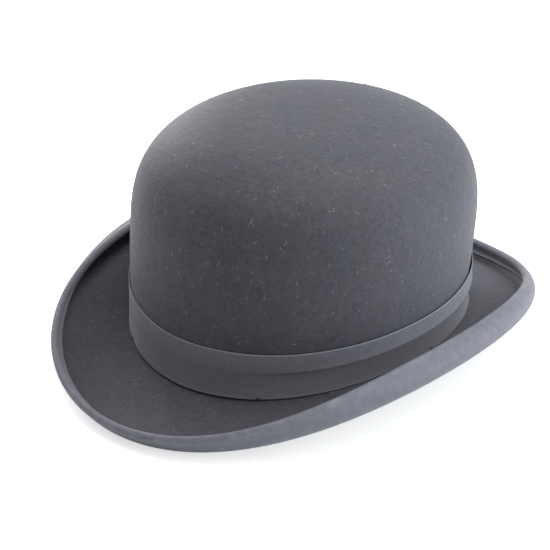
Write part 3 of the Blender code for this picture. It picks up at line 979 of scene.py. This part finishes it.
def lining_side(satin):
    """Satin up to the seam round the tip, where it is gathered."""
    theta = ring(COLUMNS * 5 // 4)
    foot = level_at(theta, LINING_FOOT)
    seam = LINING_SEAM_LEVEL - SEAM_SHARE
    levels = rows_between(seam, foot, 44)
    near = smooth(levels, 1.0, seam)
    uneven = 1.5 * ripple(theta, (3, 5, 7), 31)
    pleat = 0.00035 * (1 - np.cos(SIDE_PLEATS * theta + uneven)) * near
    slack = 0.00030 * ripple(theta, (5, 9, 14), 32) * np.sin(pi * np.clip(levels / seam, 0, 1))
    inner = FELT + GAP + SATIN + pleat + np.abs(slack)
    face = crown_skin(theta, levels, -inner)
    side = make_strip("lining_wall", face, LINING_THICKNESS, satin)
    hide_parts("lining_side")


def lining_tip(satin):
    """Oval of satin under the top of the crown."""
    theta = ring(COLUMNS // 2)
    inner = FELT + GAP + SATIN
    levels = even_levels(LINING_SEAM_LEVEL + SEAM_SHARE, 2, 30)[:-1] * np.ones_like(theta)
    near = smooth(levels, LINING_SEAM_LEVEL + 0.25, LINING_SEAM_LEVEL)
    pull = 0.00012 * np.cos(TIP_GATHERS * theta) * near
    face = crown_skin(theta, levels, -inner - pull)
    back = crown_skin(theta, levels, -inner - pull + LINING_THICKNESS)
    skin = np.concatenate([face[:, ::-1], back], axis=1)
    top = crown_point(0.0, 2.0)
    poles = [top - UP * inner, top - UP * (inner - LINING_THICKNESS)]
    tip = make_dome("lining_crown", skin, poles, satin)
    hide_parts("lining_tip")


def lining_piping(satin):
    """Twisted cord over the seam between the lining's side and tip."""
    theta = ring(COLUMNS * 2)[:, 0]
    path = crown_skin(theta, LINING_SEAM_LEVEL, -(FELT + GAP + SATIN + GAP + PIPING_RADIUS))
    sides = 12
    turn = tau * np.arange(sides) / sides
    strands = np.cos(PIPING_STRANDS * turn + PIPING_TWISTS * theta[:, None])
    radius = PIPING_RADIUS * (0.93 + 0.10 * strands)
    cord = make_cord("lining_cord", path, radius, sides, satin)
    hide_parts("lining_piping")


def size_ticket(paper):
    """The blank ticket stays as the CAD has it, with a paper finish."""
    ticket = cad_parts["size_ticket"]
    ticket.data.materials.clear()
    ticket.data.materials.append(paper)


# Surroundings


def floor():
    """Wide pale floor. What the camera sees of it glows, and its glow lights nothing."""
    mesh = bpy.data.meshes.new("floor")
    corners = [(-1, -1), (1, -1), (1, 1), (-1, 1)]
    points = [(FLOOR_HALF * x, FLOOR_HALF * y, 0) for x, y in corners]
    mesh.from_pydata(points, [], [(0, 1, 2, 3)])
    material, shader = finish_of("floor", 0.9, Specular_IOR_Level=0.1)
    shader.inputs["Base Color"].default_value = (0.86, 0.87, 0.88, 1)
    shader.inputs["Emission Color"].default_value = (1, 1, 1, 1)
    tree = material.node_tree
    seen = add(tree, "ShaderNodeLightPath").outputs["Is Camera Ray"]
    glow = maths(tree, "MULTIPLY", seen, FLOOR_GLOW)
    tree.links.new(glow, shader.inputs["Emission Strength"])
    mesh.materials.append(material)
    piece = bpy.data.objects.new("floor", mesh)
    piece.location.z = -FLOOR_DROP
    bpy.context.scene.collection.objects.link(piece)


def softbox(name, direction, size, watts, colour):
    """A square area light that faces the hat from this azimuth and elevation, in degrees. Azimuth
    runs anticlockwise from the front."""
    azimuth, elevation = map(radians, direction)
    level = np.cos(elevation)
    back = Vector((np.sin(azimuth) * level, -np.cos(azimuth) * level, np.sin(elevation)))
    data = bpy.data.lights.new(name, "AREA")
    data.size = size
    data.energy = watts
    data.color = colour
    light = bpy.data.objects.new(name, data)
    light.location = HAT_MIDDLE + back * SOFTBOX_DISTANCE
    light.rotation_mode = "QUATERNION"
    light.rotation_quaternion = (-back).to_track_quat("-Z", "Y")
    bpy.context.scene.collection.objects.link(light)


def lights():
    """A faint even surround and the soft boxes."""
    world = bpy.data.worlds.new("surround")
    world.use_nodes = True
    background = world.node_tree.nodes["Background"]
    background.inputs["Color"].default_value = (0.96, 0.98, 1.0, 1)
    background.inputs["Strength"].default_value = WORLD_STRENGTH
    bpy.context.scene.world = world
    for box in SOFTBOXES:
        softbox(*box)


def camera():
    """The view from behind the wearer's right side, rolled a little about the line of sight."""
    azimuth, elevation, roll = map(radians, (CAMERA_AZIMUTH, CAMERA_ELEVATION, CAMERA_ROLL))
    turn = Matrix.Rotation(azimuth, 3, "Z") @ Matrix.Rotation(pi / 2 - elevation, 3, "X")
    turn = turn @ Matrix.Rotation(roll, 3, "Z")
    data = bpy.data.cameras.new("camera")
    data.lens = CAMERA_LENS
    data.sensor_width = CAMERA_SENSOR
    view = bpy.data.objects.new("camera", data)
    place = CAMERA_AIM + turn @ Vector((0, 0, CAMERA_DISTANCE))
    view.matrix_world = Matrix.Translation(place) @ turn.to_4x4()
    bpy.context.scene.collection.objects.link(view)
    bpy.context.scene.camera = view


def build():
    """Every piece of the hat, with its material."""
    trim = dict(Sheen_Weight=0.40, Sheen_Roughness=0.35, Specular_IOR_Level=0.35)
    binding = ribbon_finish(
        "binding_grosgrain", BINDING_COLOURS, BINDING_PITCH, edge=0.03, worn=0.66, **trim
    )
    # the band is painted lighter towards its foot, in place of light in the shade above the brim
    band = ribbon_finish("band_grosgrain", BAND_COLOURS, BAND_PITCH, painted_foot_light=0.50, **trim)
    bow = ribbon_finish("bow_grosgrain", BOW_COLOURS, BAND_PITCH, edge=0.05, **trim)
    small = ribbon_finish("small_ribbon_black", SMALL_COLOURS, SMALL_PITCH)
    dark = thread_finish("dark_thread", (0.018, 0.018, 0.022), (0.060, 0.060, 0.068))
    light = thread_finish("light_thread", (0.26, 0.21, 0.14), (0.56, 0.50, 0.40))
    satin = satin_finish("satin", (0.30, 0.30, 0.32), (0.52, 0.52, 0.54))
    felt_body(felt_finish())
    lint(hair_finish())
    brim_binding(binding)
    hat_band(band)
    band_bow(bow)
    tacks(dark)
    sweatband(leather_finish())
    sweatband_reed(cane_finish())
    reed_welt(oilcloth_finish())
    sweatband_seam(light)
    sweatband_bow(small)
    lining_side(satin)
    lining_tip(satin)
    lining_piping(satin)
    size_ticket(paper_finish())


bpy.context.scene.view_settings.view_transform = "Standard"
floor()
lights()
camera()
build()
